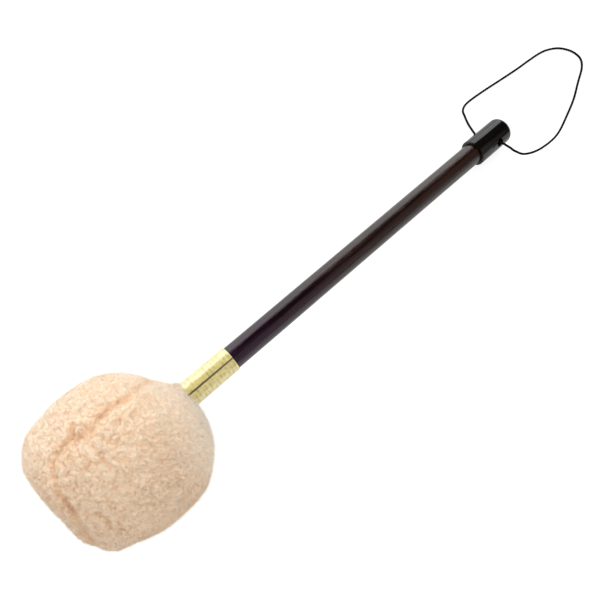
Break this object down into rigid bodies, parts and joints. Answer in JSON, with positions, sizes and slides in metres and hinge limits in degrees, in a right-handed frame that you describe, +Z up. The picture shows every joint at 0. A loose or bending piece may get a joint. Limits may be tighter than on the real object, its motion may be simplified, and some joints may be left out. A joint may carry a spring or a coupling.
{
  "type": "gong mallet",
  "caption": "Large soft mallet for a gong: wool-covered felt head on a straight wooden handle with a metal sleeve, a rubber end cap and a cord loop to hang it by.",
  "frame": {"origin": "middle of the mallet's box without its hanging cord, on the surface that the mallet lies on", "axes": "+Z up, +X along the mallet from the head towards the cap, which dips 6.4 degrees below level because the head is thicker than the cap; the cord's upper exit from the cap is on the -Y side"},
  "size_m": [0.5035, 0.1008, 0.0991],
  "materials": {
    "wool_cover": "long soft wool pile",
    "handle_shaft": "dark stain under satin lacquer",
    "gold_sleeve": "bright gold foil",
    "end_cap": "glossy black",
    "hanging_loop": "waxed dark cord",
    "loop_knot": "waxed dark cord",
    "neck_binding": "waxed thread",
    "felt_jacket": "pressed felt",
    "felt_roll": "pressed felt",
    "far_felt_disc": "pressed felt",
    "neck_felt_ring": "pressed felt",
    "head_core": "bare turned hardwood",
    "neck_washer": "zinc plated",
    "end_washer": "zinc plated",
    "core_screw": "zinc plated"
  },
  "bodies": {
    "mallet": {"wool_cover": "wool_cover", "handle_shaft": "handle_shaft", "gold_sleeve": "gold_sleeve", "end_cap": "end_cap", "neck_binding": "neck_binding", "felt_jacket": "felt_jacket", "felt_roll": "felt_roll", "far_felt_disc": "far_felt_disc", "neck_felt_ring": "neck_felt_ring", "head_core": "head_core", "neck_washer": "neck_washer", "end_washer": "end_washer", "core_screw": "core_screw"},
    "cord": {"hanging_loop": "hanging_loop", "loop_knot": "loop_knot"}
  },
  "joints": [
    {"name": "loop_swing", "type": "hinge", "parent": "mallet", "child": "cord", "pos_m": [0.18564, 0.00305, 0.01124], "axis": [0.0606, -0.8387, 0.5413], "range_deg": [0, 150]}
  ]
}
